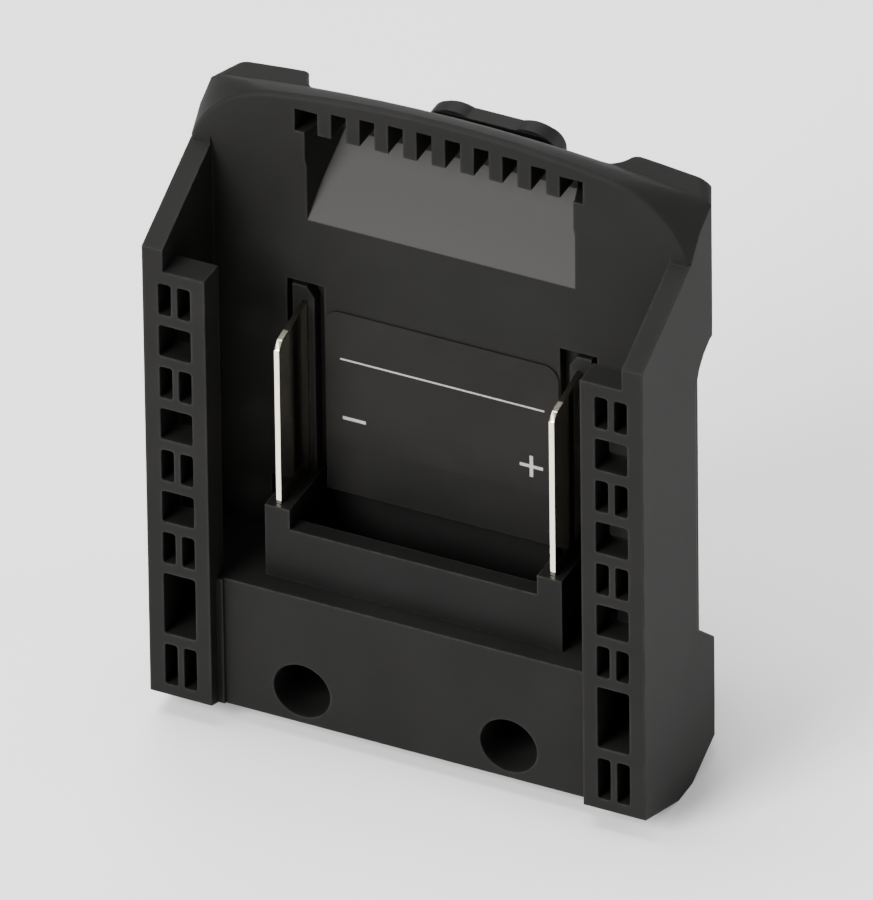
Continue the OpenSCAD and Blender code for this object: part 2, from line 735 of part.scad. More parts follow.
module rear_cover() color(plastic) place() difference() {
  union() {
    difference() {
      union() {
        upright(rebate_y, casing_d + bond) translate([0, cover_low])
          rounded(2 * cover_half, cover_high - cover_low, block_r);
        block_blank();
        both() for (z = guide_z) guide_rib(z);
      }
      block([-in_half, block_y, wall], [in_half, block_in, roof_z]);
      block([-in_half, rebate_y - over, open_low], [in_half, block_y + over, open_high]);
    }
    both() rod(well_x, well_z, boss_r + 0.8, well_end, rebate_y + bond);
    both() for (z = standoff_z) rod(standoff_x, z, standoff_r, board_back, block_in + bond);
    both() block([shelf_in, shelf_y, shelf_low], [in_half + bond, block_in + bond, keeper_z - keeper_t]);
    both() rod(carrier_screw_x, carrier_mid, carrier_post_r, carrier_y + carrier_ear_t, block_in + bond);
  }
  // Opening in the roof for the latch's tab and tooth
  block([-tab_half - latch_gap, tab_y - latch_gap, latch_low],
    [tab_half + latch_gap, tab_end + latch_gap, block_h + over]);
  block([-tooth_half - latch_gap, tab_end, latch_low],
    [tooth_half + latch_gap, block_in, block_h + over]);
  // Window for the contact carrier
  block([-carrier_half - carrier_fit, block_in - over, carrier_z - carrier_fit],
    [carrier_half + carrier_fit, overall_d + over, carrier_z + carrier_h + carrier_fit]);
  both() rod(well_x, well_z, well_screw_r + screw_gap, well_end - over, casing_d - 0.6);
  both() for (z = cover_screw_z) {
    rod(cover_screw_x, z, screw_r + cover_gap, rebate_y - over, casing_d + over);
    rod(cover_screw_x, z, head_r + screw_gap, casing_d - sunk, casing_d + over);
  }
  both() for (z = standoff_z) rod(standoff_x, z, screw_r + screw_gap, board_back - over, block_in);
  both() rod(carrier_screw_x, carrier_mid, screw_r + screw_gap, carrier_y, overall_d - 0.8);
  both() translate([keeper_screw_x, spring_y, shelf_low + wall / 2])
    cylinder(r = screw_r + screw_gap, h = keeper_z - shelf_low);
}

module terminal_block() color(black) place() difference() {
  union() {
    block([-foot_in - foot_w, bar_y, ledge_z], [foot_in + foot_w, bar_y + bar_t, bar_h]);
    both() block([foot_in, bar_y, ledge_z], [foot_in + foot_w, inner_y + bond, foot_h]);
    both() upright(bay_d - bond, inner_y + bond) polygon([[fin_in, foot_h - over],
      [fin_in + fin_w, foot_h - over], [fin_in + fin_w, fin_h], [fin_in + fin_w / 3, fin_h],
      [fin_in, fin_h - fin_w / 2]]);
    block([-base_half, inner_y, terminal_low], [base_half, base_y, base_h]);
  }
  both() block([blade_x - blade_t / 2 - blade_gap, blade_y - blade_gap, blade_low - blade_gap],
    [blade_x + blade_t / 2 + blade_gap, base_y + over, blade_top + blade_gap]);
  both() rod(post_x, post_z, post_r + bond, inner_y - over, base_y + over);
}

// One blade: the contact edge in front, and a lug for its lead behind the base plate
module blade() {
  seat = base_y - wall / 2;
  sideways(blade_x - blade_t / 2, blade_x + blade_t / 2) polygon([[blade_y, blade_low], [blade_y, blade_h],
    [blade_y + corner_cut, blade_h + corner_cut], [bay_d, blade_top], [seat, blade_top], [seat, lug_z],
    [blade_tail, lug_z], [blade_tail, lug_z - lug_h], [seat, lug_z - lug_h], [seat, blade_low]]);
}

module blade_positive() color(nickel) place() blade();

module blade_negative() color(nickel) place() mirror([1, 0, 0]) blade();

module rating_label() color("#33302d") place() upright(bay_d - label_t, bay_d)
  translate([0, label_z]) rounded(label_w, label_h, label_r);

// The latch: a tab for the finger, a tooth behind it and a flange that the springs push up
module release_latch() color(black) place() {
  upright(tab_y, tab_end) {
    translate([-tab_half, tab_low]) square([2 * tab_half, tab_h - tab_r - tab_low]);
    translate([-tab_half + tab_r, tab_low]) square([2 * (tab_half - tab_r), tab_h - tab_low]);
    for (x = [-tab_half + tab_r, tab_half - tab_r]) translate([x, tab_h - tab_r]) circle(tab_r);
  }
  both() upright(tab_y + bond, tab_end - bond) intersection() {
    translate([bump_x, tab_h + bump_rise - bump_r]) circle(bump_r, $fn = 96);
    translate([bump_x - bump_r, tab_h - bump_rise]) square([2 * bump_r, 3 * bump_rise]);
  }
  block([-flange_half, flange_y, flange_low], [flange_half, flange_end, flange_top]);
  sideways(-tooth_half, tooth_half) polygon([[tooth_y, flange_top - bond], [tooth_y, block_h + tooth_rise],
    [tooth_y + tooth_crest, block_h + tooth_rise], [flange_end, block_h - bond],
    [flange_end, flange_top - bond]]);
  both() translate([spring_x, spring_y, flange_low - stud_h]) cylinder(r = stud_r, h = stud_h + bond);
}

module latch_springs() color(steel) place() {
  low = keeper_z + wire_r + bond;
  high = flange_low - latch_gap - wire_r;
  steps = 8;
  path = [for (k = [0:coil_turns * steps]) let (a = 360 * k / steps)
    [coil_r * cos(a), coil_r * sin(a), low + (high - low) * k / (coil_turns * steps)]];
  both() translate([spring_x, spring_y, 0]) tube(path, wire_r, 6, [0, 0, 1]);
}

module latch_keeper() color(black) place() difference() {
  union() {
    block([-keeper_half, shelf_y - 0.5, keeper_z - keeper_t],
      [keeper_half, block_in - latch_gap, keeper_z]);
    both() translate([spring_x, spring_y, keeper_z - bond]) cylinder(r = stud_r, h = stud_h);
  }
  both() translate([keeper_screw_x, spring_y, keeper_z - keeper_t - over])
    cylinder(r = keeper_hole, h = keeper_t + 2 * over);
}

// Pan-head screw along y: its head lies in front of the seat and its thread behind
module screw(x, z, seat, head, r, length) difference() {
  union() {
    rod(x, z, head, seat - head_h, seat);
    rod(x, z, r, seat - bond, seat + length);
  }
  for (a = [0, 90]) translate([x, seat - head_h, z]) rotate([0, a, 0])
    block([-head * 0.55, -over, -head * 0.12], [head * 0.55, head_h * 0.5, head * 0.12]);
}

module keeper_screws() color(steel) place() both() translate([keeper_screw_x, spring_y, keeper_z])
  rotate([-90, 0, 0]) screw(0, 0, 0, head_r, screw_r, keeper_z - shelf_low - wall);

module cover_screws() color(steel) place() both() for (z = cover_screw_z)
  translate([cover_screw_x, casing_d - sunk, z]) difference() {
    union() {
      rod(0, 0, head_r, 0, sunk);
      rod(0, 0, screw_r, thread_y - casing_d + sunk, bond);
    }
    for (a = [0, 90]) rotate([0, a, 0])
      block([-head_r * 0.55, sunk * 0.5, -head_r * 0.12], [head_r * 0.55, sunk + over, head_r * 0.12]);
  }

module well_screws() color(steel) place()
  both() screw(well_x, well_z, well_floor, 0.7 * well_r, well_screw_r, casing_d - 2.4 - well_floor);

// The terminal block's screws come from behind, so each is drawn turned round
module terminal_screws() color(steel) place() both() translate([post_x, base_y, post_z]) rotate([0, 0, 180])
  screw(0, 0, 0, washer_r, screw_r, base_y - bay_d - 0.8);

module circuit_board() color("#1f4a33") place() difference() {
  block([-board_half, board_y, board_z], [board_half, board_back, board_top]);
  both() for (z = standoff_z) rod(standoff_x, z, screw_r + cover_gap, board_y - over, board_back + over);
}

module board_screws() color(steel) place() both() for (z = standoff_z)
  screw(standoff_x, z, board_y, head_r, screw_r, block_in - board_y - 2);

// Power transistors side by side, each with a drilled cooling tab above its body
module power_transistors() color(black) place() both() {
  x0 = transistor_gap / 2;
  x1 = x0 + transistor_w;
  top = transistor_z + transistor_h;
  block([x0, board_back, transistor_z], [x1, board_back + transistor_d, top]);
  difference() {
    block([x0, board_back, top - bond], [x1, board_back + sink_t, top + sink_h]);
    rod((x0 + x1) / 2, top + sink_h / 2, sink_h / 4, board_back - over, board_back + 2 * sink_t);
  }
}

module smoothing_capacitor() color("#2a3350") place() difference() {
  rod(0, capacitor_z, capacitor_r, board_y - capacitor_l, board_y);
  for (a = [0, 90]) translate([0, board_y - capacitor_l, capacitor_z]) rotate([0, a, 0])
    block([-capacitor_r * 0.6, -over, -bond], [capacitor_r * 0.6, 2 * bond, bond]);
}

module controller_chip() color(black) place() {
  block([-chip_w / 2, board_y - chip_t, chip_z], [chip_w / 2, board_y, chip_z + chip_w]);
  legs = 4;
  both() for (k = [0:legs - 1])
    block([chip_w / 2 - bond, board_y - chip_t / 3, chip_z + chip_w * (k + 0.35) / legs],
      [chip_w / 2 + 1, board_y, chip_z + chip_w * (k + 0.65) / legs]);
}

module fuse() color("#b5622a") place() {
  block([-fuse_w / 2, board_y - fuse_d, fuse_z], [fuse_w / 2, board_y - fuse_d / 2, fuse_z + fuse_t]);
  block([-fuse_w * 0.4, board_y - fuse_d / 2 - bond, fuse_z + fuse_t * 0.1],
    [fuse_w * 0.4, board_y, fuse_z + fuse_t * 0.9]);
}

// Leads run straight out of what they join and bend in between
module input_lead() {
  start = [blade_x, blade_tail, lug_z - lug_h / 2];
  end = [standoff_x - lead_run / 2, board_y, standoff_z[1] - lead_drop];
  tube([start, start + lead_run * [0, 1, 0], start + lead_run * [-0.3, 2, -0.8],
    start + lead_run * [-1.4, 3.2, -3.7], end + lead_run * [1.7, -2.2, 4.2],
    end + lead_run * [0.4, -1.6, 1.3], end + lead_run * [0, -0.9, 0], end],
    lead_r, lead_sides, [1, 0, 0]);
}

module input_lead_positive() color("#a02020") place() input_lead();

module input_lead_negative() color(black) place() mirror([1, 0, 0]) input_lead();

module output_lead() {
  start = [contact_x + lead_aside, board_back, transistor_z - 2 * lead_run];
  end = [contact_x, carrier_y - lead_r - cover_gap, contact_high];
  tube([start, start + lead_run * [0, 1, 0], start + lead_run * [-0.2, 1.75, -0.8],
    [start[0] - 0.9 * lead_run, end[1], start[2] - 3.7 * lead_run],
    [contact_x + 0.4 * lead_run, end[1], end[2] + 3.2 * lead_run], end + lead_run * [0, 0, 1.25], end],
    lead_r, lead_sides, [1, 0, 0]);
}

module output_lead_positive() color("#a02020") place() output_lead();

module output_lead_negative() color(black) place() mirror([1, 0, 0]) output_lead();

module contact_carrier() color(black) place() difference() {
  union() {
    block([-carrier_ear, carrier_y, carrier_z - carrier_ear_t], [carrier_ear, carrier_y + carrier_ear_t,
      carrier_z + carrier_h + carrier_ear_t]);
    block([-carrier_half, carrier_y, carrier_z],
      [carrier_half, overall_d - cover_gap, carrier_z + carrier_h]);
  }
  both() block([contact_x - contact_t / 2 - blade_gap, carrier_y - over, contact_low - blade_gap],
    [contact_x + contact_t / 2 + blade_gap, overall_d, contact_high + blade_gap]);
  both() block([contact_x - mouth_w / 2, block_in - over, contact_low - over],
    [contact_x + mouth_w / 2, overall_d, contact_high + over]);
  both() rod(carrier_screw_x, carrier_mid, screw_r + cover_gap, carrier_y - over,
    carrier_y + carrier_ear_t + over);
}

module carrier_screws() color(steel) place()
  both() screw(carrier_screw_x, carrier_mid, carrier_y, head_r, screw_r, overall_d - 1.2 - carrier_y);

module tool_contact() block([contact_x - contact_t / 2, contact_front, contact_low],
  [contact_x + contact_t / 2, contact_end, contact_high]);

module tool_contact_positive() color(nickel) place() tool_contact();

module tool_contact_negative() color(nickel) place() mirror([1, 0, 0]) tool_contact();

front_housing();
rear_cover();
terminal_block();
blade_negative();
blade_positive();
rating_label();
release_latch();
latch_springs();
latch_keeper();
keeper_screws();
cover_screws();
well_screws();
terminal_screws();
circuit_board();
board_screws();
power_transistors();
smoothing_capacitor();
controller_chip();
fuse();
input_lead_negative();
input_lead_positive();
output_lead_negative();
output_lead_positive();
contact_carrier();
carrier_screws();
tool_contact_negative();
tool_contact_positive();
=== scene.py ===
import json
import math

import bpy
from mathutils import Matrix, Vector


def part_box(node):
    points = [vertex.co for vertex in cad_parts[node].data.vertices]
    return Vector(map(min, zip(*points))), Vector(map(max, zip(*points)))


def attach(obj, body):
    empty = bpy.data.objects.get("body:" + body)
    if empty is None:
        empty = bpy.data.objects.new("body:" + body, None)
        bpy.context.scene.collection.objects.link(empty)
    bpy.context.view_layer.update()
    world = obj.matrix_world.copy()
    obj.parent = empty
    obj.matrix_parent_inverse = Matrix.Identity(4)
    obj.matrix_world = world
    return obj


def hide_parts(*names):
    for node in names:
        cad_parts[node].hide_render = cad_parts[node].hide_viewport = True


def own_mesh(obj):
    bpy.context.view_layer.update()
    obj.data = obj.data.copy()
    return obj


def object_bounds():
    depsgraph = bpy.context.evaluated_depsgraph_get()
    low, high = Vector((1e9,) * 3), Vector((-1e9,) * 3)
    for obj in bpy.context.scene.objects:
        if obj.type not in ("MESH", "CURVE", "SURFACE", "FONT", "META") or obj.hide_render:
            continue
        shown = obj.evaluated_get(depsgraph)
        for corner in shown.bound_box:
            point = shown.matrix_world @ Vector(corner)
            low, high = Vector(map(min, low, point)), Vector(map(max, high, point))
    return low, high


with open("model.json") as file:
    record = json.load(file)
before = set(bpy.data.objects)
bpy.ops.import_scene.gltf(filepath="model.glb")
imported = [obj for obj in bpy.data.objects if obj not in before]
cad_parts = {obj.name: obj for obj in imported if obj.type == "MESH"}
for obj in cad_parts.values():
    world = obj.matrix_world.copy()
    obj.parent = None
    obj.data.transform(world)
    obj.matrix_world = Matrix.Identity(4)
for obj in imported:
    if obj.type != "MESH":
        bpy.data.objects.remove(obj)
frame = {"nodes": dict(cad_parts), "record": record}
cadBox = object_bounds()
nodes = frame["nodes"]
mm = 0.001
print("frame loaded:", len(nodes), "nodes")


class Shade:
    # one socket of a material's tree; sums and products of values become Math nodes
    def __init__(self, tree, socket=None):
        self.tree = tree
        self.socket = socket

    def node(self, kind, settings=None, sockets=None, out=0):
        made = self.tree.nodes.new("ShaderNode" + kind)
        for name, value in (settings or {}).items():
            setattr(made, name, value)
        for name, value in (sockets or {}).items():
            if isinstance(value, Shade):
                self.tree.links.new(value.socket, made.inputs[name])
            else:
                made.inputs[name].default_value = value
        return Shade(self.tree, made.outputs[out])

    # another output of the node that this socket belongs to
    def output(self, name):
        return Shade(self.tree, self.socket.node.outputs[name])

    def math(self, operation, a, b=0.0):
        return self.node("Math", {"operation": operation}, {0: a, 1: b})

    def __add__(self, other):
        return self.math("ADD", self, other)

    def __radd__(self, other):
        return self.math("ADD", other, self)

    def __sub__(self, other):
        return self.math("SUBTRACT", self, other)

    def __rsub__(self, other):
        return self.math("SUBTRACT", other, self)

    def __mul__(self, other):
        return self.math("MULTIPLY", self, other)

    def __rmul__(self, other):
        return self.math("MULTIPLY", other, self)

    def __truediv__(self, other):
        return self.math("DIVIDE", self, other)

    def __rtruediv__(self, other):
        return self.math("DIVIDE", other, self)

    def __abs__(self):
        return self.math("ABSOLUTE", self)

    def atLeast(self, other):
        return self.math("MAXIMUM", self, other)

    # start below low, end above high, straight in between
    def fade(self, low, high, start=0.0, end=1.0):
        span = {"Value": self, "From Min": low, "From Max": high, "To Min": start, "To Max": end}
        return self.node("MapRange", {"clamp": True}, span)

    def mix(self, share, a, b):
        first = a if isinstance(a, Shade) else (*a, 1)
        second = b if isinstance(b, Shade) else (*b, 1)
        return self.node("Mix", {"data_type": "RGBA"}, {0: share, 6: first, 7: second}, out=2)

    def scaled(self, factors):
        return self.node("VectorMath", {"operation": "MULTIPLY"}, {0: self, 1: factors})

    # share of a surface's normal that points along a direction
    def along(self, direction):
        return self.node("VectorMath", {"operation": "DOT_PRODUCT"}, {0: self, 1: direction}, out=1)

    def noise(self, place, size, detail, rough):
        return self.node("TexNoise", {"noise_dimensions": "3D"},
                         {"Vector": place, "Scale": 1 / size, "Detail": detail, "Roughness": rough})

    def bump(self, strength, depth, height, **more):
        return self.node("Bump", None, {"Strength": strength, "Distance": depth, "Height": height, **more})


# an empty material: its Shade, the place of each point in metres, and a function that closes it
def newFinish(name):
    material = bpy.data.materials.new(name)
    material.use_nodes = True
    tree = material.node_tree
    shader = tree.nodes["Principled BSDF"]
    shade = Shade(tree)
    place = shade.node("NewGeometry")

    def close(**sockets):
        for key, value in sockets.items():
            target = shader.inputs[key.replace("_", " ")]
            if isinstance(value, Shade):
                tree.links.new(value.socket, target)
            else:
                target.default_value = value
        return material

    return shade, place, close


# Moulded plastics: fine spark texture, clouded colour, edges polished by handling with a paler colour that
# is part wear and part painted highlight, and a painted sheen on the catch's ramp

casingLook = {
    "colour": (0.0068, 0.0066, 0.0063), "cloudColour": (0.0086, 0.0084, 0.0080), "cloudSize": 14.0,
    "roughness": 0.58, "cloudDrift": 0.10, "sparkDrift": 0.08, "specular": 0.085,
    "sparkSize": 0.22, "sparkDepth": 0.016, "sparkStrength": 0.55, "edgeRound": 0.35,
    # the edge colour is part handling wear and part painted highlight; the ramp's polish colour is a painted
    # sheen
    "edgeWearAndHighlightColour": (0.021, 0.0205, 0.0194), "edgeRoughness": 0.44, "edgeReach": 0.5, "edgeFade": (0.12, 0.55),
    "scuffSize": 1.6, "scuffStretch": (1.0, 1.0, 0.25), "scuffFade": (0.30, 0.62), "scuffDepth": 0.25,
    "wornSpark": 0.6, "sheenAndPolishFacing": (0.0, -0.862, 0.507), "sheenAndPolishFade": (0.985, 0.995),
    "paintedSheenColour": (0.023, 0.0220, 0.0206), "polishRoughness": 0.44, "samples": 4,
}
blockLook = dict(casingLook, colour=(0.0056, 0.0055, 0.0053), cloudColour=(0.0072, 0.0070, 0.0068),
                 roughness=0.50, sparkDepth=0.012, edgeReach=0.45, edgeRound=0.25)
latchLook = dict(casingLook, colour=(0.0066, 0.0064, 0.0062), roughness=0.50, sparkDepth=0.010)


# 1 along outward edges
def edgeMask(shade, look):
    inside = shade.node("AmbientOcclusion", {"inside": True, "samples": look["samples"]},
                        {"Distance": look["edgeReach"] * mm}, out=1)
    return (1 - inside).fade(*look["edgeFade"])


def mouldedPlastic(name, look):
    shade, place, close = newFinish(name)
    spark = shade.noise(place, look["sparkSize"] * mm, 2.0, 0.6)
    cloud = shade.noise(place, look["cloudSize"] * mm, 4.0, 0.55)
    scuff = shade.noise(place.scaled(look["scuffStretch"]), look["scuffSize"] * mm, 5.0, 0.7)
    # paler colour along outward edges: part handling wear, part painted edge highlight
    wearAndHighlight = edgeMask(shade, look) * scuff.fade(*look["scuffFade"])
    base = shade.mix(cloud.fade(0.38, 0.68), look["colour"], look["cloudColour"])
    base = shade.mix(wearAndHighlight, base, look["edgeWearAndHighlightColour"])
    # only the catch's ramp faces this way: its paler colour is a painted sheen, its lower roughness a
    # smoother finish
    sheenAndPolish = place.output("True Normal").along(look["sheenAndPolishFacing"]).fade(*look["sheenAndPolishFade"])
    base = shade.mix(sheenAndPolish, base, look["paintedSheenColour"])
    drift = (cloud - 0.5) * look["cloudDrift"] + (spark - 0.5) * look["sparkDrift"]
    rough = (look["roughness"] + drift) * (1 - wearAndHighlight) + look["edgeRoughness"] * wearAndHighlight
    rough = rough * (1 - sheenAndPolish) + look["polishRoughness"] * sheenAndPolish
    height = spark * (1 - wearAndHighlight * look["wornSpark"]) + scuff * look["scuffDepth"]
    rounded = shade.node("Bevel", {"samples": look["samples"]}, {"Radius": look["edgeRound"] * mm})
    bump = shade.bump(look["sparkStrength"], look["sparkDepth"] * mm, height, Normal=rounded)
    return close(Base_Color=base, Roughness=rough, Normal=bump, Specular_IOR_Level=look["specular"])


# Metals: drawn lines and faint stains

nickelLook = {
    "colour": (0.92, 0.88, 0.70), "darkColour": (0.70, 0.66, 0.53), "roughness": 0.07, "lineSize": 0.35,
    # the dark colour of the blades' rear top edges is painted shade
    "stretch": (1.0, 1.0, 0.06), "rearEdgeShadeColour": (0.034, 0.029, 0.024), "rearEdgeRoughness": 0.42,
    "noseLength": 3.2, "noseFade": 0.3, "noseRoughness": 0.27,
}
screwLook = {"colour": (0.44, 0.44, 0.45), "darkColour": (0.20, 0.20, 0.21), "roughness": 0.34,
             "lineSize": 0.25, "stretch": (1.0, 0.3, 1.0)}
springLook = {"colour": (0.52, 0.51, 0.50), "darkColour": (0.30, 0.29, 0.28), "roughness": 0.28,
              "lineSize": 0.18, "stretch": (1.0, 1.0, 0.2)}
metalGrain = {"stainSize": 6.0, "stainShare": 0.5, "lineShare": 0.25, "lineDepth": 0.008,
              "lineStrength": 0.35}


def platedMetal(name, look):
    shade, place, close = newFinish(name)
    line = shade.noise(place.scaled(look["stretch"]), look["lineSize"] * mm, 3.0, 0.6)
    stain = shade.noise(place, metalGrain["stainSize"] * mm, 4.0, 0.6).fade(0.45, 0.75)
    dark = stain * metalGrain["stainShare"] + line.fade(0.55, 0.8) * metalGrain["lineShare"]
    base = shade.mix(dark, look["colour"], look["darkColour"])
    rough = look["roughness"] * (1 + line * 0.5 + stain * 0.5)
    if "rearEdgeShadeColour" in look:
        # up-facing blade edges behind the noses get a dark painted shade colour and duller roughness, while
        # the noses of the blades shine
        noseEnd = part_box("blade_positive")[0].y + look["noseLength"] * mm
        soft = look["noseFade"] * mm
        behind = place.node("SeparateXYZ", None, {0: place}, out=1).fade(noseEnd - soft, noseEnd + soft)
        up = place.output("True Normal").along((0.0, 0.0, 1.0)).fade(0.55, 0.80)
        shadedRearEdge = up * behind
        base = shade.mix(shadedRearEdge, base, look["rearEdgeShadeColour"])
        rough = rough * (1 - up) + look["rearEdgeRoughness"] * shadedRearEdge + look["noseRoughness"] * (up - shadedRearEdge)
    bump = shade.bump(metalGrain["lineStrength"], metalGrain["lineDepth"] * mm, line)
    return close(Base_Color=base, Roughness=rough, Metallic=1.0, Normal=bump)


# Label: a bare film with a fine printed rule and the two polarity signs

labelLook = {
    "film": (0.0064, 0.0060, 0.0055), "filmPale": (0.0090, 0.0084, 0.0077), "print": (0.30, 0.295, 0.28),
    "roughness": 0.42, "specular": 0.09, "ruleWidth": 0.28, "ruleHeight": 60.6, "ruleInset": 2.4,
    "signX": 14.6, "signHeight": 50.0, "signArm": 1.9, "signWidth": 0.55, "printSoft": 0.05,
    "inkSize": 0.16, "cloudSize": 9.0, "grainSize": 0.12, "grainDepth": 0.008, "grainStrength": 0.4,
}


def labelFilm(name, look):
    shade, place, close = newFinish(name)
    split = place.node("SeparateXYZ", None, {0: place})
    x = split.output("X") / mm
    z = split.output("Z") / mm
    soft = look["printSoft"]

    def bar(cx, cz, w, h):
        across = abs(x - cx).fade(w / 2 - soft, w / 2 + soft, 1.0, 0.0)
        return across * abs(z - cz).fade(h / 2 - soft, h / 2 + soft, 1.0, 0.0)

    low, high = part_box("rating_label")
    length = (high.x - low.x) / mm - 2 * look["ruleInset"]
    rule = bar(0, look["ruleHeight"], length, look["ruleWidth"])
    signX, signZ = look["signX"], look["signHeight"]
    arm, width = 2 * look["signArm"], look["signWidth"]
    plus = bar(signX, signZ, arm, width).atLeast(bar(signX, signZ, width, arm))
    minus = bar(-signX, signZ, arm, width)
    ink = shade.noise(place, look["inkSize"] * mm, 2.0, 0.6).fade(0.25, 0.45)
    printed = rule.atLeast(plus).atLeast(minus) * ink
    cloud = shade.noise(place, look["cloudSize"] * mm, 3.0, 0.5)
    grain = shade.noise(place, look["grainSize"] * mm, 2.0, 0.6)
    film = shade.mix(cloud.fade(0.35, 0.7), look["film"], look["filmPale"])
    bump = shade.bump(look["grainStrength"], look["grainDepth"] * mm, grain + printed * 0.6)
    return close(Base_Color=shade.mix(printed, film, look["print"]), Normal=bump,
                 Roughness=look["roughness"] + (grain - 0.5) * 0.12 + (cloud - 0.5) * 0.1,
                 Specular_IOR_Level=look["specular"])


# Electronics

boardLook = {"mask": (0.012, 0.070, 0.030), "track": (0.020, 0.105, 0.045), "trackPitch": 2.4,
             "weaveSize": 0.25, "depth": 0.02, "roughness": 0.28}
sleeveLook = {"colour": (0.020, 0.030, 0.080), "pale": (0.030, 0.045, 0.110), "roughness": 0.26,
              "grainSize": 0.5}
fuseLook = {"colour": (0.45, 0.13, 0.025), "pale": (0.52, 0.17, 0.040), "roughness": 0.30, "grainSize": 0.6}
leadBlackLook = {"colour": (0.014, 0.014, 0.014), "pale": (0.024, 0.024, 0.023), "roughness": 0.55,
                 "grainSize": 0.3}
leadRedLook = {"colour": (0.34, 0.018, 0.014), "pale": (0.42, 0.035, 0.028), "roughness": 0.52,
               "grainSize": 0.3}
grainSet = {"cloudSize": 5.0, "depth": 0.012, "strength": 0.4}


def boardMask(name, look):
    shade, place, close = newFinish(name)
    cells = shade.node("TexVoronoi", {"distance": "MANHATTAN", "feature": "DISTANCE_TO_EDGE"},
                       {"Vector": place, "Scale": 1 / (look["trackPitch"] * mm)})
    track = cells.fade(0.05, 0.09)
    weave = shade.noise(place, look["weaveSize"] * mm, 2.0, 0.5)
    bump = shade.bump(0.5, look["depth"] * mm, track + weave * 0.3)
    return close(Base_Color=shade.mix(track, look["mask"], look["track"]), Normal=bump,
                 Roughness=look["roughness"] + weave * 0.15)


def simpleMoulding(name, look):
    shade, place, close = newFinish(name)
    grain = shade.noise(place, look["grainSize"] * mm, 3.0, 0.6)
    cloud = shade.noise(place, grainSet["cloudSize"] * mm, 3.0, 0.5)
    bump = shade.bump(grainSet["strength"], grainSet["depth"] * mm, grain)
    return close(Base_Color=shade.mix(cloud.fade(0.35, 0.7), look["colour"], look["pale"]), Normal=bump,
                 Roughness=look["roughness"] + (grain - 0.5) * 0.2)


finishes = {
    "casing_plastic": mouldedPlastic("casingPlastic", casingLook),
    "block_plastic": mouldedPlastic("blockPlastic", blockLook),
    "latch_plastic": mouldedPlastic("latchPlastic", latchLook),
    "component_black": mouldedPlastic("componentBlack", blockLook),
    "nickel_plate": platedMetal("nickelPlate", nickelLook),
    "screw_steel": platedMetal("screwSteel", screwLook),
    "spring_steel": platedMetal("springSteel", springLook),
    "label_film": labelFilm("labelFilm", labelLook),
    "board_laminate": boardMask("boardMask", boardLook),
    "capacitor_sleeve": simpleMoulding("capacitorSleeve", sleeveLook),
    "fuse_plastic": simpleMoulding("fusePlastic", fuseLook),
    "lead_black": simpleMoulding("leadBlack", leadBlackLook),
    "lead_red": simpleMoulding("leadRed", leadRedLook),
}
print("finishes made:", len(finishes))


# Carried-over nodes: their finish, rounded edges and smooth curves

edgeSet = {  # width of each node's rounded edges in millimetres
    "release_latch": 0.3, "latch_keeper": 0.2, "contact_carrier": 0.25, "blade_negative": 0.12,
    "blade_positive": 0.12, "tool_contact_negative": 0.1, "tool_contact_positive": 0.1,
    "cover_screws": 0.15, "well_screws": 0.15, "terminal_screws": 0.15, "keeper_screws": 0.15,
    "board_screws": 0.15, "carrier_screws": 0.15, "circuit_board": 0.1, "fuse": 0.25,
    "power_transistors": 0.2, "controller_chip": 0.08, "smoothing_capacitor": 0.4,
}
edgeShape = {"segments": 2, "sharpAngle": 24.0, "creaseAngle": 21.0, "weld": 0.0008, "flatWeight": 60}


def weldSeams(obj):
    weld = obj.modifiers.new("weld", "WELD")
    weld.merge_threshold = edgeShape["weld"] * mm


def evenNormals(obj):
    normal = obj.modifiers.new("normal", "WEIGHTED_NORMAL")
    normal.keep_sharp = True
    normal.weight = edgeShape["flatWeight"]


# curves shade smoothly and creases stay crisp
def smoothCurves(obj):
    weldSeams(obj)
    split = obj.modifiers.new("crease", "EDGE_SPLIT")
    split.use_edge_sharp = False
    split.split_angle = math.radians(edgeShape["creaseAngle"])
    evenNormals(obj)


def roundEdges(obj, width):
    weldSeams(obj)
    bevel = obj.modifiers.new("edge", "BEVEL")
    bevel.width = width * mm
    bevel.segments = edgeShape["segments"]
    bevel.limit_method = "ANGLE"
    bevel.angle_limit = math.radians(edgeShape["sharpAngle"])
    bevel.use_clamp_overlap = True
    bevel.miter_outer = "MITER_ARC"
    evenNormals(obj)


for part in frame["record"]["subparts"]:
    obj = nodes[part["node"]]
    obj.data.materials.clear()
    obj.data.materials.append(finishes[part["material_slot"]])
    for face in obj.data.polygons:
        face.use_smooth = True
    if part["node"] in edgeSet:
        roundEdges(obj, edgeSet[part["node"]])
    else:
        smoothCurves(obj)
print("nodes finished")


# Latch springs: round wire whose end turns lie nearly flat, squeezed by the latch

springSet = {"x": 8.0, "coil": 2.5, "wire": 0.3, "turns": 7, "steps": 28, "sides": 10, "keep": 0.72,
             "flatEnd": 0.11, "flatRise": 0.045}


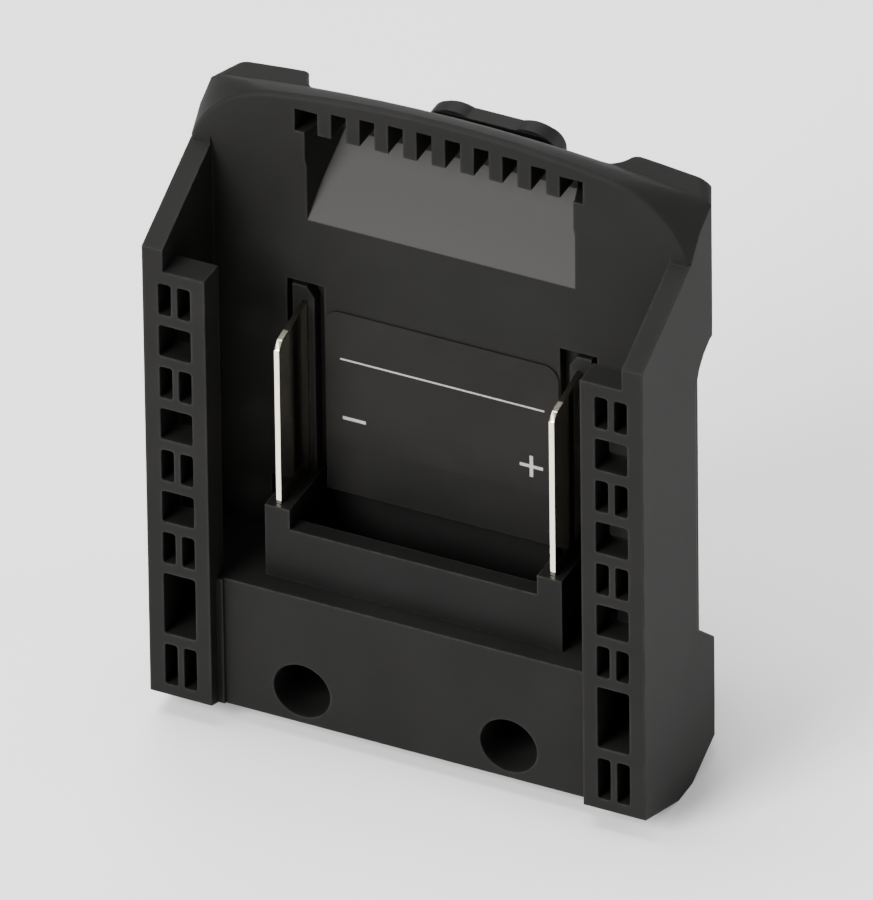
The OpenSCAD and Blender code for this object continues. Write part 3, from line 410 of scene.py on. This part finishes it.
# points round the wire, ring after ring up the coil
def coilPoints(side, look, low, high):
    y = (low.y + high.y) / 2
    wire, coil = look["wire"] * mm, look["coil"] * mm
    bottom, top = low.z + wire, high.z - wire
    count = look["turns"] * look["steps"]
    points = []
    for k in range(count + 1):
        share = k / count
        climb = max(0.0, min(1.0, (share - look["flatEnd"]) / (1 - 2 * look["flatEnd"])))
        rise = look["flatRise"] * share + (1 - look["flatRise"]) * climb
        a = 2 * math.pi * look["turns"] * share
        out = Vector((math.cos(a), math.sin(a), 0))
        centre = Vector((side * look["x"] * mm, y, bottom + (top - bottom) * rise)) + out * coil
        for s in range(look["sides"]):
            b = 2 * math.pi * s / look["sides"]
            points.append(tuple(centre + (out * math.cos(b) + Vector((0, 0, math.sin(b)))) * wire))
    return points


def tubeFaces(count, n):
    faces = []
    for k in range(count):
        for s in range(n):
            a, b = k * n + s, k * n + (s + 1) % n
            faces.append((a, a + n, b + n, b))
    faces.append(tuple(range(n)))
    faces.append(tuple(count * n + s for s in reversed(range(n))))
    return faces


def makeSpring(name, side, look):
    low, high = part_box("latch_springs")
    faces = tubeFaces(look["turns"] * look["steps"], look["sides"])
    mesh = bpy.data.meshes.new(name)
    mesh.from_pydata(coilPoints(side, look, low, high), [], faces)
    for face in mesh.polygons:
        face.use_smooth = len(face.vertices) == 4       # the two ends stay flat
    mesh.materials.append(finishes["spring_steel"])
    obj = bpy.data.objects.new(name, mesh)
    bpy.context.scene.collection.objects.link(obj)
    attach(obj, "adapter")
    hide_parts("latch_springs")
    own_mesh(obj)


for side, name in ((-1, "latchSpringLeft"), (1, "latchSpringRight")):
    makeSpring(name, side, springSet)
print("springs wound")


# Floor, light and camera

floorSet = {"size": 6.0, "colour": (0.86, 0.86, 0.855), "paleColour": (0.90, 0.90, 0.895),
            "cloudSize": 1 / 3, "roughness": 0.6, "specular": 0.2}
lightSet = {
    "world": 0.40,
    "distance": 1.6,
    "lamps": [  # name, direction from the object, size, power
        ("keyBox", (-0.36, -0.80, 0.48), 0.9, 58.0),
        ("overheadBox", (-0.25, 0.05, 1.0), 1.2, 32.0),
        ("backBox", (-0.35, 0.74, 0.57), 1.0, 9.0),
        ("rightFill", (0.90, 0.20, 0.35), 0.9, 10.0),
        ("rearFill", (0.45, 0.85, 0.22), 0.9, 10.0),
    ],
}
cameraSet = {"azimuth": 25.58, "elevation": 35.0, "roll": -0.74, "distance": 4.290,
             "target": (0.00142, -0.010, 0.05248), "pixelLens": 28783.0, "imageHeight": 900, "sensor": 36.0,
             "clip": (0.1, 40.0)}


def makeFloor(look):
    half = look["size"] / 2
    corners = [(-half, -half, 0), (half, -half, 0), (half, half, 0), (-half, half, 0)]
    mesh = bpy.data.meshes.new("floor")
    mesh.from_pydata(corners, [], [(0, 1, 2, 3)])
    shade, place, close = newFinish("floorPaper")
    cloud = shade.noise(place, look["cloudSize"], 3.0, 0.5)
    mesh.materials.append(close(Base_Color=shade.mix(cloud, look["colour"], look["paleColour"]),
                                Roughness=look["roughness"], Specular_IOR_Level=look["specular"]))
    obj = bpy.data.objects.new("floor", mesh)
    bpy.context.scene.collection.objects.link(obj)


def makeLights(look):
    world = bpy.data.worlds.new("studio")
    world.use_nodes = True
    sky = world.node_tree.nodes["Background"]
    sky.inputs["Color"].default_value = (1, 1, 1, 1)
    sky.inputs["Strength"].default_value = look["world"]
    bpy.context.scene.world = world
    middle = (cadBox[0] + cadBox[1]) / 2
    for name, direction, size, power in look["lamps"]:
        lamp = bpy.data.lights.new(name, "AREA")
        lamp.shape = "DISK"
        lamp.size = size
        lamp.energy = power
        obj = bpy.data.objects.new(name, lamp)
        away = Vector(direction).normalized()
        obj.location = middle + away * look["distance"]
        obj.rotation_euler = away.to_track_quat("Z", "Y").to_euler()
        bpy.context.scene.collection.objects.link(obj)


def makeCamera(look):
    a, e, r = (math.radians(look[k]) for k in ("azimuth", "elevation", "roll"))
    back = Vector((math.sin(a) * math.cos(e), -math.cos(a) * math.cos(e), math.sin(e)))
    right = Vector((math.cos(a), math.sin(a), 0))
    up = back.cross(right)
    right, up = right * math.cos(r) + up * math.sin(r), up * math.cos(r) - right * math.sin(r)
    data = bpy.data.cameras.new("camera")
    data.sensor_fit = "AUTO"
    data.sensor_width = look["sensor"]
    data.lens = look["pixelLens"] * look["sensor"] / look["imageHeight"]
    data.clip_start, data.clip_end = look["clip"]
    obj = bpy.data.objects.new("camera", data)
    turn = Matrix((right, up, back)).transposed().to_4x4()
    obj.matrix_world = Matrix.Translation(Vector(look["target"]) + back * look["distance"]) @ turn
    bpy.context.scene.collection.objects.link(obj)
    bpy.context.scene.camera = obj


makeFloor(floorSet)
makeLights(lightSet)
makeCamera(cameraSet)
print("stage set")
